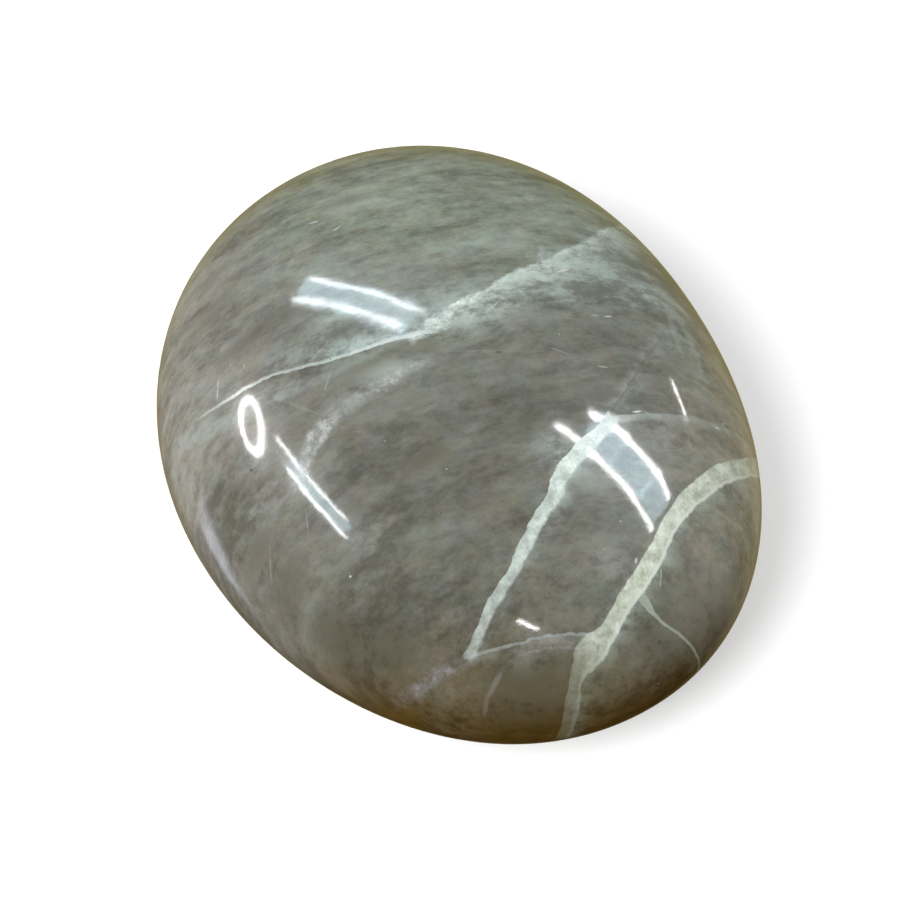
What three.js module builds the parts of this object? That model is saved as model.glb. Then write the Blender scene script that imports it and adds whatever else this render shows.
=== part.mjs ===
// A polished garnierite pebble, the size of a palm stone: one solid, rounded all over, lying on
// a small flat spot. Millimetres, +Z up. X runs along the stone, Y across it, and the origin is
// on the surface that it lies on, under the middle of its outline.
import * as THREE from "three";

// Overall size
const LENGTH = 62;
const WIDTH = 51.4;
const THICKNESS = 24;

// The girdle is the line where the stone is widest. It isn't quite level, as on any tumbled stone.
const GIRDLE_HEIGHT = 11;
const GIRDLE_RISE = 0.7;
const GIRDLE_RISE_ANGLE = THREE.MathUtils.degToRad(205);

// How square each curve is: 2 is an ellipse, and more is fuller at the shoulders
const OUTLINE_POWER = 2.05;
const CROWN_POWER = 2.2;
const BOWL_POWER = 2.1;

// Three shallow corners that turn the oval outline into a pebble's
const CORNER_COUNT = 3;
const CORNER_SHARE = 0.0143;
const CORNER_ANGLE = THREE.MathUtils.degToRad(19.6);

// The small flat spot on the underside
const FLAT_LENGTH = 13;

// Faces round the stone, up its bowl, over its crown and across its flat spot
const SEGMENTS = 72;
const BOWL_STEPS = 14;
const CROWN_STEPS = 18;
const FLAT_STEPS = 2;

const STONE_COLOUR = 0x77766a;

// The height of a superellipse with unit half-width, above the line where it is widest.
function archHeight(reach, power) {
  return Math.max(0, 1 - reach ** power) ** (1 / power);
}

// The half-section from the middle of the flat spot, out round the girdle and up to the top.
// Its x is the share of the way out to the outline, and its y the height in millimetres.
function halfSection() {
  const flatShare = FLAT_LENGTH / LENGTH;
  const bowlDepth = GIRDLE_HEIGHT / archHeight(flatShare, BOWL_POWER);
  const crownHeight = THICKNESS - GIRDLE_HEIGHT;
  const points = [];
  for (let i = 0; i < FLAT_STEPS; i++) {
    points.push(new THREE.Vector2((flatShare * i) / FLAT_STEPS, 0));
  }
  points.push(new THREE.Vector2(flatShare, 0));
  const flatTurn = Math.asin(flatShare);
  for (let i = 1; i <= BOWL_STEPS; i++) {
    const turn = flatTurn + ((Math.PI / 2 - flatTurn) * i) / BOWL_STEPS;
    const reach = Math.min(1, Math.sin(turn));
    points.push(
      new THREE.Vector2(
        reach,
        GIRDLE_HEIGHT - bowlDepth * archHeight(reach, BOWL_POWER),
      ),
    );
  }
  for (let i = 1; i < CROWN_STEPS; i++) {
    const reach = Math.cos(((Math.PI / 2) * i) / CROWN_STEPS);
    points.push(
      new THREE.Vector2(
        reach,
        GIRDLE_HEIGHT + crownHeight * archHeight(reach, CROWN_POWER),
      ),
    );
  }
  points.push(new THREE.Vector2(0, THICKNESS));
  return points;
}

// How far the outline is from the stone's middle, in one direction seen from above.
function outlineRadius(angle) {
  const oval =
    (Math.abs(Math.cos(angle) / (LENGTH / 2)) ** OUTLINE_POWER +
      Math.abs(Math.sin(angle) / (WIDTH / 2)) ** OUTLINE_POWER) **
    (-1 / OUTLINE_POWER);
  const corners = Math.cos(CORNER_COUNT * (angle - CORNER_ANGLE));
  return oval * (1 + CORNER_SHARE * corners);
}

// How much the tilted girdle lifts the surface. The top and the flat spot stay where they are.
function girdleLift(angle, reach, height) {
  const share = height / THICKNESS;
  const middle = 4 * share * (1 - share);
  return GIRDLE_RISE * middle * reach * Math.cos(angle - GIRDLE_RISE_ANGLE);
}

function pebbleGeometry() {
  const geometry = new THREE.LatheGeometry(halfSection(), SEGMENTS);
  geometry.rotateX(Math.PI / 2);
  const position = geometry.getAttribute("position");
  for (let i = 0; i < position.count; i++) {
    const x = position.getX(i);
    const y = position.getY(i);
    const reach = Math.hypot(x, y);
    const angle = Math.atan2(y, x);
    const radius = reach * outlineRadius(angle);
    const height = Math.max(0, position.getZ(i));
    position.setXYZ(
      i,
      radius * Math.cos(angle),
      radius * Math.sin(angle),
      height + girdleLift(angle, reach, height),
    );
  }
  geometry.computeBoundingBox();
  const middle = geometry.boundingBox.getCenter(new THREE.Vector3());
  geometry.translate(-middle.x, -middle.y, 0);
  geometry.computeVertexNormals();
  return geometry;
}

function makePebble() {
  const polishedStone = new THREE.MeshStandardMaterial({
    color: STONE_COLOUR,
    roughness: 0.12,
    metalness: 0,
  });
  const pebble = new THREE.Mesh(pebbleGeometry(), polishedStone);
  pebble.name = "pebble";
  return pebble;
}

const root = new THREE.Group();
root.add(makePebble());

export default root;
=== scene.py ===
"""A polished garnierite pebble: a smooth oval stone of grey-green silk, crossed by pale veins.

The stone is one piece. Its shape comes from the frame's solid, made fine and smooth, with the veins
worn a hair below the polish. Its colour comes from a material in the stone's own millimetres: silky
layers, veins that run through the stone as sheets, soft pale veils, hairlines and specks.
"""

import math
from dataclasses import dataclass

import bpy
import numpy as np
from mathutils import Matrix, Vector


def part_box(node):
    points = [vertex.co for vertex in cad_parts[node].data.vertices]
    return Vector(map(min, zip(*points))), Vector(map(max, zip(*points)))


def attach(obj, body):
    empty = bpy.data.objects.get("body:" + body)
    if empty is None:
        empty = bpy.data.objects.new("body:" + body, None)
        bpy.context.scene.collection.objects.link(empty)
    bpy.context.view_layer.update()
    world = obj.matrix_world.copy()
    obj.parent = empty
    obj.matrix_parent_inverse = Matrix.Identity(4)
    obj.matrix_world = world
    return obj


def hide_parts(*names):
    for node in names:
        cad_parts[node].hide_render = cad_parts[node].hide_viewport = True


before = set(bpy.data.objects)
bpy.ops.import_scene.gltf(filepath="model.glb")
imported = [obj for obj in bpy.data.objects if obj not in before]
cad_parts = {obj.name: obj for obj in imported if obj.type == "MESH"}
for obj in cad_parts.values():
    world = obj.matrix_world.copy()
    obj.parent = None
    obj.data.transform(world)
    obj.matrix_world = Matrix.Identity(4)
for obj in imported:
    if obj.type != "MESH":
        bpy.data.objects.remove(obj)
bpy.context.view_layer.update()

bl_info = {
    "name": "Garnierite pebble",
    "version": (1, 0, 0),
    "blender": (4, 5, 0),
    "location": "View3D > Sidebar > Pebble",
    "description": "Builds a polished garnierite pebble and the stage that it lies on",
    "category": "Object",
}

# The frame's names, and one millimetre in metres
NODE = "pebble"
BODY = "root"
MM = 0.001

# The pebble's mesh
FORM_LEVELS = 2
SPHERE_STEPS = 7
SMOOTH_ROUNDS = 12
SMOOTH_FACTOR = 0.5
MERGE_DISTANCE = 0.001 * MM
RIPPLE_SIZE = 3.0 * MM

# The silk: thin layers that stand across the stone's long axis and lean back over it. Where the
# surface cuts across them, so many millimetres along their axis, the streaks give way to mottle.
SILK_AZIMUTH = math.radians(-13)
SILK_ELEVATION = math.radians(39)
SILK_END = (26.0, 31.5)
STREAK_STRENGTH = 2.9
STREAK_LOSS = 1.3
MOTTLE_STRENGTH = 2.0
MOTTLE_GAIN = 0.3

# The camera, set from the photograph
CAMERA_AZIMUTH = math.radians(60.8)
CAMERA_ELEVATION = math.radians(60)
CAMERA_DISTANCE = 260 * MM
CAMERA_LENS = 115.46
CAMERA_SENSOR = 36.0
CAMERA_TARGET_HEIGHT = 12 * MM
CAMERA_LEFT = 0.476 * MM
CAMERA_DOWN = 1.434 * MM


# Places and directions

def compass(azimuth, elevation=0.0):
    """The unit vector at an angle from +X and a height above the table."""
    flat = math.cos(elevation)
    return Vector((math.cos(azimuth) * flat, math.sin(azimuth) * flat, math.sin(elevation)))


def view_axes():
    """The camera's right, its way forward along the table, and its back."""
    right = compass(CAMERA_AZIMUTH)
    forward = compass(CAMERA_AZIMUTH + math.pi / 2)
    back = -forward * math.cos(CAMERA_ELEVATION) + Vector((0, 0, math.sin(CAMERA_ELEVATION)))
    return right, forward, back


def placed(place, axes):
    """The matrix that moves a thing to a place and turns its own axes to these three."""
    return Matrix.Translation(place) @ Matrix(axes).transposed().to_4x4()


def silk_axes():
    """The silk's own axes: along a streak, through the layer, and across the layers."""
    across = compass(SILK_AZIMUTH, SILK_ELEVATION)
    along = Vector((0, 0, 1)).cross(across).normalized()
    through = across.cross(along)
    return along, through, across


# Colours of the veins, patches, strokes and flecks
WHITE = (0.60, 0.63, 0.58)
GLOW = (0.44, 0.52, 0.49)
ICE = (0.36, 0.44, 0.42)
MINT = (0.30, 0.36, 0.32)
MILK = (0.30, 0.31, 0.29)
LILAC = (0.33, 0.33, 0.36)
MOSS = (0.17, 0.19, 0.14)
SAND = (0.165, 0.160, 0.115)
REED = (0.15, 0.155, 0.105)
PLUM = (0.150, 0.130, 0.118)
OLIVE = (0.130, 0.130, 0.085)
UMBER = (0.085, 0.070, 0.045)
SHADE = (0.045, 0.040, 0.022)
BLACK = (0.012, 0.010, 0.008)


@dataclass
class Noise:
    """Noise in the stone. Its lengths are in millimetres, along, through and across the silk where it
    follows that. Detail is how many finer sizes it has, and roughness how strong they are."""
    lengths: tuple
    detail: float
    roughness: float
    seed: float


STREAKS = Noise((15, 12, 3.1), 6, 0.66, 1)
MOTTLE = Noise((1.8, 1.6, 0.9), 5, 0.76, 21)
DRIFT = Noise((9, 9, 9), 2, 0.5, 3)
WANDER = Noise((1.3, 1.3, 1.3), 4, 0.66, 7)
CRYSTALS = Noise((1.1, 1.1, 1.1), 5, 0.74, 31)
WARMTH = Noise((2.2, 2.2, 2.2), 4, 0.66, 29)
BLUENESS = Noise((1.8, 1.8, 1.8), 4, 0.66, 63)
ORANGE_PEEL = Noise((0.45, 0.45, 0.45), 3, 0.6, 51)

# How far the drift moves the silk's layers, how far apart the noise of its three axes is, and how
# high the finest waves are, in millimetres
DRIFT_REACH = 2.4
DRIFT_STEP = 50
ORANGE_PEEL_HEIGHT = 0.002


@dataclass
class Region:
    """Colour given to one side of the stone: mostly its own, but on the near side painted shade and
    painted reflection. It comes in between two places along the camera's way forward, called away, or
    along its right, called aside, in millimetres from the origin."""
    axis: str
    span: tuple
    colour: tuple


MIDDLE_COLOUR = (0.112, 0.111, 0.089)
REGIONS = (
    Region("away", (2, 20), (0.196, 0.221, 0.172)),
    Region("aside", (14, 26), (0.212, 0.202, 0.150)),
    Region("aside", (-8, -25), (0.165, 0.158, 0.132)),
    Region("aside", (-20, -27), (0.235, 0.225, 0.19)),
    # Painted shade and painted reflection of a brown table: the near side darker and browner
    Region("away", (-20, -28.5), (0.104, 0.087, 0.049)),
)

# Painted shade and painted reflection of a brown table on the near edge: its colour, and where it comes
# in by height, forward and aside
PAINTED_SHADE_AND_REFLECTION_COLOUR = (0.073, 0.044, 0.008)
PAINTED_SHADE_AND_REFLECTION_HEIGHT = (16, 11.5)
PAINTED_SHADE_AND_REFLECTION_AWAY = (-15, -24)
PAINTED_SHADE_AND_REFLECTION_ASIDE = (-15, -3)

# What the stone's colour is multiplied by, from one end of each noise to the other
WARM_TINTS = (1.16, 0.95, 0.95), (0.84, 1.05, 1.05)
BLUE_TINTS = (1.06, 1.02, 0.78), (0.94, 0.98, 1.22)
SILK_TINTS = (0.56, 0.54, 0.49), (1.46, 1.50, 1.55)


@dataclass
class Flecks:
    """Tiny crystals, in a share of the cells of a pattern that is drawn out along the silk. The cells'
    lengths are in millimetres, and the crystals' radius is a share of them."""
    lengths: tuple
    radius: float
    share: float
    seed: float
    colour: tuple
    strength: float


FLECKS = (
    Flecks((2.2, 1.6, 1.2), 0.06, 0.15, 3, WHITE, 0.5),
    Flecks((1.8, 1.6, 1.2), 0.085, 0.3, 17, UMBER, 0.6),
)

# The share of a crystal's radius in which it is full, and how softly the cells are chosen
FLECK_CORE = 0.4
FLECK_DRAW_STEP = 0.02

# Where the silk is dark it thins the patches and veils, down to their least share
BREAK_SPAN = (0.1, 0.85)
BREAK_LEAST = 0.2

# Where the grain goes from a vein's dark crystals to its pale ones, how much of a band or of a
# silken vein shows at the dark ones, and how much more at the pale ones
SPECKLE_SPAN = (0.3, 0.7)
BAND_LEAST = 0.6
BAND_GAIN = 0.6
SILKEN_LEAST = 0.3
SILKEN_GAIN = 0.9

# A vein's bright line: how far it reaches and how far it is full, in millimetres, and how strong it is
LINE_REACH = 0.22
LINE_CORE = 0.03
LINE_STRENGTH = 0.85

# The part of the grain in which a hairline shows, how long its oval is for the hairline's length,
# and the share of the oval that is full
HAIRLINE_SPAN = (0.3, 0.55)
HAIRLINE_STRETCH = 0.6
HAIRLINE_CORE = 0.35

# A vein is worn over the whole of its inner half, and less and less out to this many half widths
WEAR_REACH = 1.5

# The polish: how much rougher the veins are, how blurred the haze is, and how strongly light bends
VEIN_BLUR = 0.2
HAZE_BLUR = 0.3
STONE_IOR = 1.5


@dataclass
class Band:
    """Soft colour beside a vein. It is strongest at start and gone at end, both in millimetres
    across from the vein's course, and along gives its strength at places along the vein. It comes
    in over the width of its edge."""
    start: float
    end: float
    along: tuple
    colour: tuple
    edge: float


@dataclass
class Sheet:
    """A sheet of mineral that runs through the stone, and shows as a vein where it meets the surface.

    It is measured in millimetres: t along the sheet's level line from start, and s across it. The
    course gives s for a few places along t, half_width how far the vein reaches to each side of
    its course, and along its strength. The edges are how far its colour takes to fade out on the
    side below and above the course in s. Its body is mottled from dark to pale, and its wobble is
    how far it strays from its course. The line is the share of the half width at which a bright
    line runs, or None. A silken vein is broken up by the silk.
    """
    start: tuple
    heading: float
    lean: float
    course: tuple
    half_width: tuple
    along: tuple
    edges: tuple
    pale: tuple
    dark: tuple
    wobble: float
    bands: tuple = ()
    line: float = None
    silken: bool = False

    def axes(self):
        """The unit vectors along the sheet's level line and across the sheet."""
        heading = math.radians(self.heading)
        return compass(heading), compass(heading + math.pi / 2, math.radians(self.lean))

    def wear(self, points):
        """How deep the vein is worn at points in millimetres, from 0 to 1."""
        along, across = self.axes()
        offsets = points - np.array(self.start)
        t = offsets @ np.array(along)
        off = abs(offsets @ np.array(across) - between(self.course, t))
        inside = np.clip(WEAR_REACH - off / between(self.half_width, t), 0, 1)
        return inside * between(self.along, t)


def between(pairs, t):
    """The values at t on a run of straight stretches, level beyond its ends."""
    places, values = zip(*pairs)
    return np.interp(t, places, values)


LONG_LINE = Sheet(
    (0, 0, 22), heading=90, lean=25,
    course=(
        (-21, 6.7), (-18, 6.95), (-15.5, 7.15), (-12.4, 6.75), (-9.6, 6.15), (-7.3, 5.75), (-4.5, 5.4),
        (-2.4, 5.0), (-1.1, 4.72), (1.2, 4.1), (3.5, 4.05), (6, 4.4), (11, 4.4),
    ),
    half_width=((-21, 0.05), (-12, 0.06), (-5, 0.09), (-1, 0.12), (1, 0.05)),
    along=((-21.5, 0), (-18, 0.7), (-13, 0.6), (-7, 0.8), (-3, 1), (-1, 0.9), (0.3, 0)),
    edges=(0.1, 0.2), pale=(0.52, 0.58, 0.55), dark=(0.38, 0.44, 0.41),
    bands=(
        Band(-0.3, -3.0, ((-12, 0), (-8, 0.6), (-2, 0.85), (3, 0.6), (6, 0.2), (9, 0)), OLIVE, 0.5),
        Band(0.0, 3.0, ((-15, 0), (-11, 0.6), (-5, 1), (-1, 1), (0.5, 0.6), (3, 0)), ICE, 0.15),
    ),
    wobble=0.25,
)
LONG_CREST = Sheet(
    (0, 0, 22), heading=90, lean=25,
    course=(
        (-1.5, 4.65), (-0.3, 4.9), (0.9, 5.1), (2.8, 5.35), (4.2, 5.6), (5.6, 5.6), (7.2, 5.8), (9, 6.1),
        (12.5, 5.85), (15, 6.05), (17.5, 6.0), (19.5, 6.35), (22, 6.4),
    ),
    half_width=((-1.5, 0.1), (0.9, 0.4), (2.8, 0.35), (4.2, 0.25), (5.6, 0.12), (9, 0.08), (22, 0.1)),
    along=(
        (-2.5, 0), (-1.5, 0.9), (3, 1), (6, 0.7), (9, 0.5), (12, 0.5), (15, 0.6), (18, 0.6), (22, 0.4),
        (23, 0.2),
    ),
    edges=(0.6, 0.3), pale=(0.68, 0.76, 0.71), dark=(0.38, 0.44, 0.41),
    bands=(
        Band(0.3, 2.4, ((-1, 0.3), (1, 0.7), (4, 0.6), (7, 0.3), (10, 0)), ICE, 0.6),
        Band(0.0, -6.5, ((1, 0), (5, 0.7), (8, 0.9), (17, 1), (23, 1)), MINT, 0.2),
        Band(0.0, -3.6, ((-1, 0), (2, 0.7), (5, 1), (9, 1), (16, 1), (23, 0.7)), GLOW, 0.25),
    ),
    wobble=0.45, silken=True,
)
MIDDLE_VEIN = Sheet(
    (17, -1, 20), heading=-60, lean=-15,
    course=(
        (-11, -1.1), (-7.2, -1.83), (-5.1, -2.0), (-3.7, -1.6), (-2.3, -1.42), (-0.7, -1.5), (0.7, -1.3),
        (3.4, -0.98), (5.1, -0.79), (6.7, -0.8), (8.7, -0.53), (10.2, -0.2), (11.3, 0.05),
    ),
    half_width=((-11, 0.45), (-7, 0.6), (-3.7, 0.56), (-1, 0.44), (2, 0.46), (4, 0.36), (11, 0.32)),
    along=((-13, 0), (-10.5, 0.95), (-6, 1), (0, 0.9), (5, 0.72), (11, 0.52), (12, 0)),
    edges=(0.1, 0.35), pale=(0.62, 0.71, 0.66), dark=(0.31, 0.36, 0.32),
    bands=(
        Band(0.0, 2.2, ((-12, 0.3), (-8, 0.9), (-2, 0.8), (0, 0.4), (11, 0.25), (12, 0)), ICE, 0.3),
        Band(-0.3, -1.4, ((-12, 0.6), (-8, 0.4), (0, 0.15), (11, 0.2), (12, 0)), MILK, 0.1),
    ),
    wobble=0.3,
)
THICK_VEIN = Sheet(
    (22, 7, 20), heading=-64, lean=-20,
    course=(
        (-16, 4.3), (-14, 3.15), (-11.5, 1.72), (-9.5, 0.85), (-7.2, 0.28), (-5, -0.08), (-3.2, -0.1),
        (-1.5, 0.17), (0.3, 0.49), (3.7, 0.82), (5.3, 0.9), (6.8, 1.15), (8.7, 1.34), (10.6, 1.3),
        (12.1, 1.61), (13.2, 2.5), (14.2, 3.4), (16, 5.6),
    ),
    half_width=(
        (-14, 0.9), (-11, 0.95), (-9.5, 0.88), (-5, 0.8), (-2.5, 0.68), (3.7, 0.8), (5.3, 0.68),
        (8.7, 0.82), (10.3, 1.2), (11.6, 0.78), (12.3, 0.7), (14, 0.9),
    ),
    along=(
        (-17, 0.85), (-8, 0.95), (2, 0.95), (5, 0.82), (9, 0.68), (10.5, 0.45), (11.5, 0.3), (13, 0.2),
        (16, 0.1),
    ),
    edges=(0.15, 0.2), pale=(0.64, 0.70, 0.58), dark=(0.31, 0.34, 0.26),
    bands=(
        Band(0.5, 2.7, ((-16, 0.3), (-4, 0.7), (4, 0.75), (9, 0.6), (12, 0.3)), MINT, 0.3),
        Band(-0.5, -1.6, ((-12, 0.2), (-4, 0.3), (4, 0.5), (9, 0.4), (12, 0)), MILK, 0.3),
        Band(0.7, 4.0, ((8.5, 0), (10.5, 0.25), (13, 0.5), (16, 0.3)), REED, 0.3),
    ),
    line=0.88, wobble=0.26,
)
CROSS_VEIN = Sheet(
    (22, -9, 18), heading=74, lean=10,
    course=((-2, -1.05), (0, -1.09), (2.7, -0.98), (3.7, -0.9), (5.2, -1.02), (6.5, -1.2), (9, -1.5)),
    half_width=((-2, 0.08), (6.5, 0.06), (9, 0.12)),
    along=((-2.5, 0), (-1.2, 0.6), (3, 0.55), (8, 0.6), (9.5, 0)),
    edges=(0.15, 0.08), pale=(0.34, 0.38, 0.36), dark=(0.21, 0.23, 0.22),
    bands=(
        Band(0.0, -1.9, ((-1.5, 0), (1, 0.25), (4, 0.4), (6, 0.65), (9, 0.6), (10, 0)), MILK, 0.1),
        Band(-0.95, -1.25, ((0, 0), (2, 0.4), (6.5, 0.65), (8, 0.3), (9.5, 0)), MILK, 0.12),
    ),
    wobble=0.35,
)
SCUFF = Sheet(
    (22, -9, 18), heading=74, lean=10,
    course=((-8.5, -2.2), (-6.4, -2.2), (-5.5, -1.85), (-4.3, -1.65), (-3, -1.27), (-1.2, -1.04)),
    half_width=((-8.5, 0.2), (-5, 0.3), (-1, 0.12)),
    along=((-9, 0), (-7.8, 0.5), (-5, 0.8), (-2.5, 0.8), (-1, 0.3), (-0.5, 0)),
    edges=(0.7, 0.5), pale=(0.24, 0.24, 0.25), dark=(0.11, 0.10, 0.095),
    wobble=0.5, silken=True,
)
ARCH_LINE = Sheet(
    (12, 12, 20), heading=68, lean=10,
    course=((-3, 0.75), (-1, 0.95), (1.8, 1.09), (3.7, 1.04), (6.2, 0.66), (8.2, 0.17), (10.2, -0.44)),
    half_width=((-3, 0.12), (3, 0.12), (10, 0.1)),
    along=((-4, 0), (-2, 0.55), (4, 0.35), (8, 0.3), (12, 0.1)),
    edges=(0.5, 0.2), pale=(0.34, 0.38, 0.35), dark=(0.25, 0.28, 0.26),
    bands=(
        Band(0.1, -1.4, ((-4, 0), (-1, 0.5), (5, 0.35), (10, 0.2)), MILK, 0.2),
    ),
    wobble=0.2,
)
BRANCH_LINE = Sheet(
    (26, 4, 18), heading=10, lean=0,
    course=((-1, 0.2), (0.8, 0.4), (2.6, 1.43), (3.7, 2.18), (5.2, 3.0)),
    half_width=((-1, 0.4), (0.2, 0.2), (1, 0.08), (5, 0.06)),
    along=((-1.6, 0), (-0.8, 0.8), (3, 0.7), (4.8, 0.5), (5.8, 0)),
    edges=(0.12, 0.15), pale=(0.38, 0.42, 0.36), dark=(0.28, 0.31, 0.26),
    bands=(
        Band(0.0, -2.2, ((-1.6, 0), (0, 0.35), (4, 0.2), (5.6, 0)), MOSS, 0.1),
    ),
    wobble=0.16,
)
WISP = Sheet(
    (0, -6, 23), heading=-95, lean=0,
    course=((-6, -1.8), (-1.2, -1.55), (4.3, -0.8), (6.4, -0.2), (8.8, 1.55), (10.5, 3.3)),
    half_width=((-6, 0.1), (2, 0.1), (7, 0.4), (10, 0.2)),
    along=((-6, 0), (-2, 0.5), (0, 0.9), (2, 0.6), (4, 0.4), (6, 0.9), (8, 1), (10, 0.4), (12, 0)),
    edges=(1.2, 0.9), pale=(0.42, 0.43, 0.42), dark=(0.20, 0.21, 0.20),
    wobble=0.8, silken=True,
)
VEIL = Sheet(
    (0, 18, 20), heading=50, lean=0,
    course=((-8, 1.9), (-4, 2.0), (-1.8, 1.9), (0.6, 1.6), (2.5, 0.9), (4.5, 0), (5.8, -1.6), (8, -7)),
    half_width=((-8, 0.6), (-3, 0.4), (3, 0.5), (8, 0.3)),
    along=(
        (-9, 0), (-8, 0.9), (-4, 1), (-2.5, 0.6), (-0.5, 0.45), (2, 0.7), (4.5, 0.7), (6, 0.4), (8, 0),
    ),
    edges=(1.1, 0.8), pale=(0.40, 0.48, 0.46), dark=(0.25, 0.30, 0.28),
    wobble=0.6, silken=True,
)
SHEETS = (
    WISP, VEIL, SCUFF, BRANCH_LINE, ARCH_LINE, CROSS_VEIN, MIDDLE_VEIN, LONG_LINE, LONG_CREST, THICK_VEIN,
)
WORN_SHEETS = (MIDDLE_VEIN, LONG_LINE, LONG_CREST, THICK_VEIN)


@dataclass
class Patch:
    """A soft patch of colour inside the stone. Its reach is along, through and across the silk."""
    centre: tuple
    reach: tuple
    colour: tuple
    strength: float


PATCHES = (
    Patch((-10.8, 9.0, 22.8), (8, 8, 1.6), MINT, 0.45),
    Patch((-19.5, 5.7, 21.5), (8, 8, 1.5), MINT, 0.35),
    Patch((-23.3, 6.9, 20.0), (3, 4, 0.7), UMBER, 0.35),
    Patch((-12.7, -12.5, 21.6), (7, 8, 1.1), UMBER, 0.5),
    Patch((-12.1, -7.0, 22.8), (6, 6, 0.9), UMBER, 0.45),
    Patch((-8.5, -22.0, 18.0), (6.5, 8, 8), MILK, 0.35),
    Patch((-2.3, -4.6, 23.8), (4.4, 5, 1.2), MINT, 0.75),
    Patch((-1.6, -9.0, 23.3), (4, 5, 1.2), MILK, 0.4),
    Patch((-3.4, 17.2, 21.2), (4.4, 8, 1.7), ICE, 0.8),
    Patch((-2.2, 14.5, 22.2), (8, 8, 2.6), ICE, 0.7),
    Patch((-0.8, 21.0, 19.2), (6, 8, 3.4), ICE, 0.9),
    Patch((-9.3, -6.8, 23.1), (4, 5, 1.2), MINT, 0.65),
    Patch((-8.8, -10.5, 22.7), (4, 5, 1.0), MINT, 0.4),
    Patch((0.3, -25.3, 13.5), (4, 8, 4), MILK, 0.6),
    Patch((12.6, -14.5, 20.6), (5, 6, 3.5), SAND, 0.5),
    Patch((21.9, 2.6, 20.2), (3, 4, 2), MILK, 0.5),
    Patch((-18.0, -15.5, 19.3), (5, 6, 2.2), UMBER, 0.4),
    Patch((-21.5, 1.0, 21.0), (4, 5, 1.2), UMBER, 0.5),
    Patch((6.8, -6.5, 23.4), (4, 5, 1.3), UMBER, 0.75),
    Patch((7.0, -15.2, 21.4), (4, 5, 1.3), UMBER, 0.35),
    Patch((5.0, -22.1, 17.7), (4, 5, 1.5), UMBER, 0.6),
    Patch((1.3, -20.9, 19.2), (4, 5, 1.3), MILK, 0.5),
    Patch((15.7, -19.5, 16.3), (5, 6, 2.4), SHADE, 0.45),
    Patch((17.6, -16.6, 17.7), (5, 6, 2.2), SHADE, 0.45),
    Patch((20.0, -16.0, 16.6), (4, 5, 2.0), SHADE, 0.3),
    Patch((26.8, -8.2, 15.8), (7, 8, 4.5), SHADE, 0.6),
    Patch((28.1, 5.0, 16.3), (5, 6, 2.0), SHADE, 0.5),
    Patch((29.6, 8.5, 12.8), (6, 6, 3.0), SAND, 0.5),
    Patch((24.6, -14.6, 12.2), (5, 6, 3.5), SAND, 0.35),
    Patch((7.6, 13.8, 21.9), (3.5, 5, 1.2), UMBER, 0.55),
    Patch((-21.9, -14.2, 17.8), (5, 5, 2.0), UMBER, 0.35),
    Patch((8.9, 2.9, 23.5), (3, 4, 1.3), UMBER, 0.4),
    Patch((1.0, 20.0, 19.7), (5, 8, 2.6), MINT, 0.6),
    Patch((-4.3, 22.0, 18.2), (4, 6, 2.4), MINT, 0.6),
    Patch((-6.4, 16.5, 21.3), (3.5, 6, 1.3), GLOW, 0.6),
    Patch((11.0, 22.7, 15.4), (5, 8, 3.0), MILK, 0.5),
    Patch((20.0, 18.0, 15.7), (6, 6, 3.0), MILK, 0.55),
    Patch((8.5, 11.0, 22.6), (4, 5, 1.4), UMBER, 0.5),
    Patch((-7.6, 3.0, 23.7), (4.5, 6, 1.3), ICE, 0.4),
    Patch((-6.5, -15.3, 21.7), (3.5, 5, 1.0), MILK, 0.4),
    Patch((-16.0, 17.5, 19.3), (8, 8, 1.6), MINT, 0.4),
    Patch((11.5, 3.6, 23.2), (3.5, 5, 2.6), ICE, 0.5),
    Patch((13.6, 13.5, 21.1), (4.5, 6, 2.2), MILK, 0.45),
    Patch((5.5, 20.3, 19.4), (2.6, 8, 6.5), MINT, 0.4),
    Patch((14.5, 8.0, 22.3), (5.2, 8, 4.5), MILK, 0.25),
    Patch((21.4, -2.8, 20.6), (5, 8, 3), SAND, 0.4),
    Patch((28.0, 10.5, 14.5), (6, 8, 4), PLUM, 0.55),
    Patch((28.5, -2.0, 15.0), (4.5, 8, 3), OLIVE, 0.5),
    Patch((29.9, 2.6, 14.2), (4, 6, 2.2), PLUM, 0.35),
    Patch((27.3, 8.7, 16.2), (4, 6, 2.5), UMBER, 0.35),
    Patch((23.8, -6.6, 19.0), (3, 4, 1.2), MILK, 0.35),
    Patch((3.0, 23.5, 16.5), (5, 8, 3), MILK, 0.7),
    Patch((9.8, -12.8, 21.8), (4, 5, 1.8), MILK, 0.35),
    Patch((9.5, -21.8, 16.9), (4, 6, 2.2), UMBER, 0.6),
    Patch((-2.0, -15.3, 21.8), (4, 5, 1.2), UMBER, 0.35),
    Patch((7.5, 1.5, 23.7), (4, 5, 1.3), UMBER, 0.3),
    Patch((12.6, -4.4, 22.8), (4, 5, 1.2), UMBER, 0.3),
    Patch((6.8, 18.5, 20.2), (4, 5, 1.4), UMBER, 0.3),
    Patch((-12.0, -14.5, 20.6), (4, 5, 1.2), UMBER, 0.3),
    Patch((14.2, 4.8, 22.6), (3, 4, 1.6), ICE, 0.3),
    Patch((15.0, -19.8, 16.3), (5, 6, 3.5), UMBER, 0.5),
    Patch((22.2, -14.2, 16.6), (1.8, 4, 2.4), PLUM, 0.4),
)


@dataclass
class Stroke:
    """A straight hairline or soft streak from one place to another. It tapers to its ends."""
    first: tuple
    last: tuple
    radius: float
    strength: float


def speck(place, radius, strength):
    """A stroke without length."""
    return Stroke(place, place, radius, strength)


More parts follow.
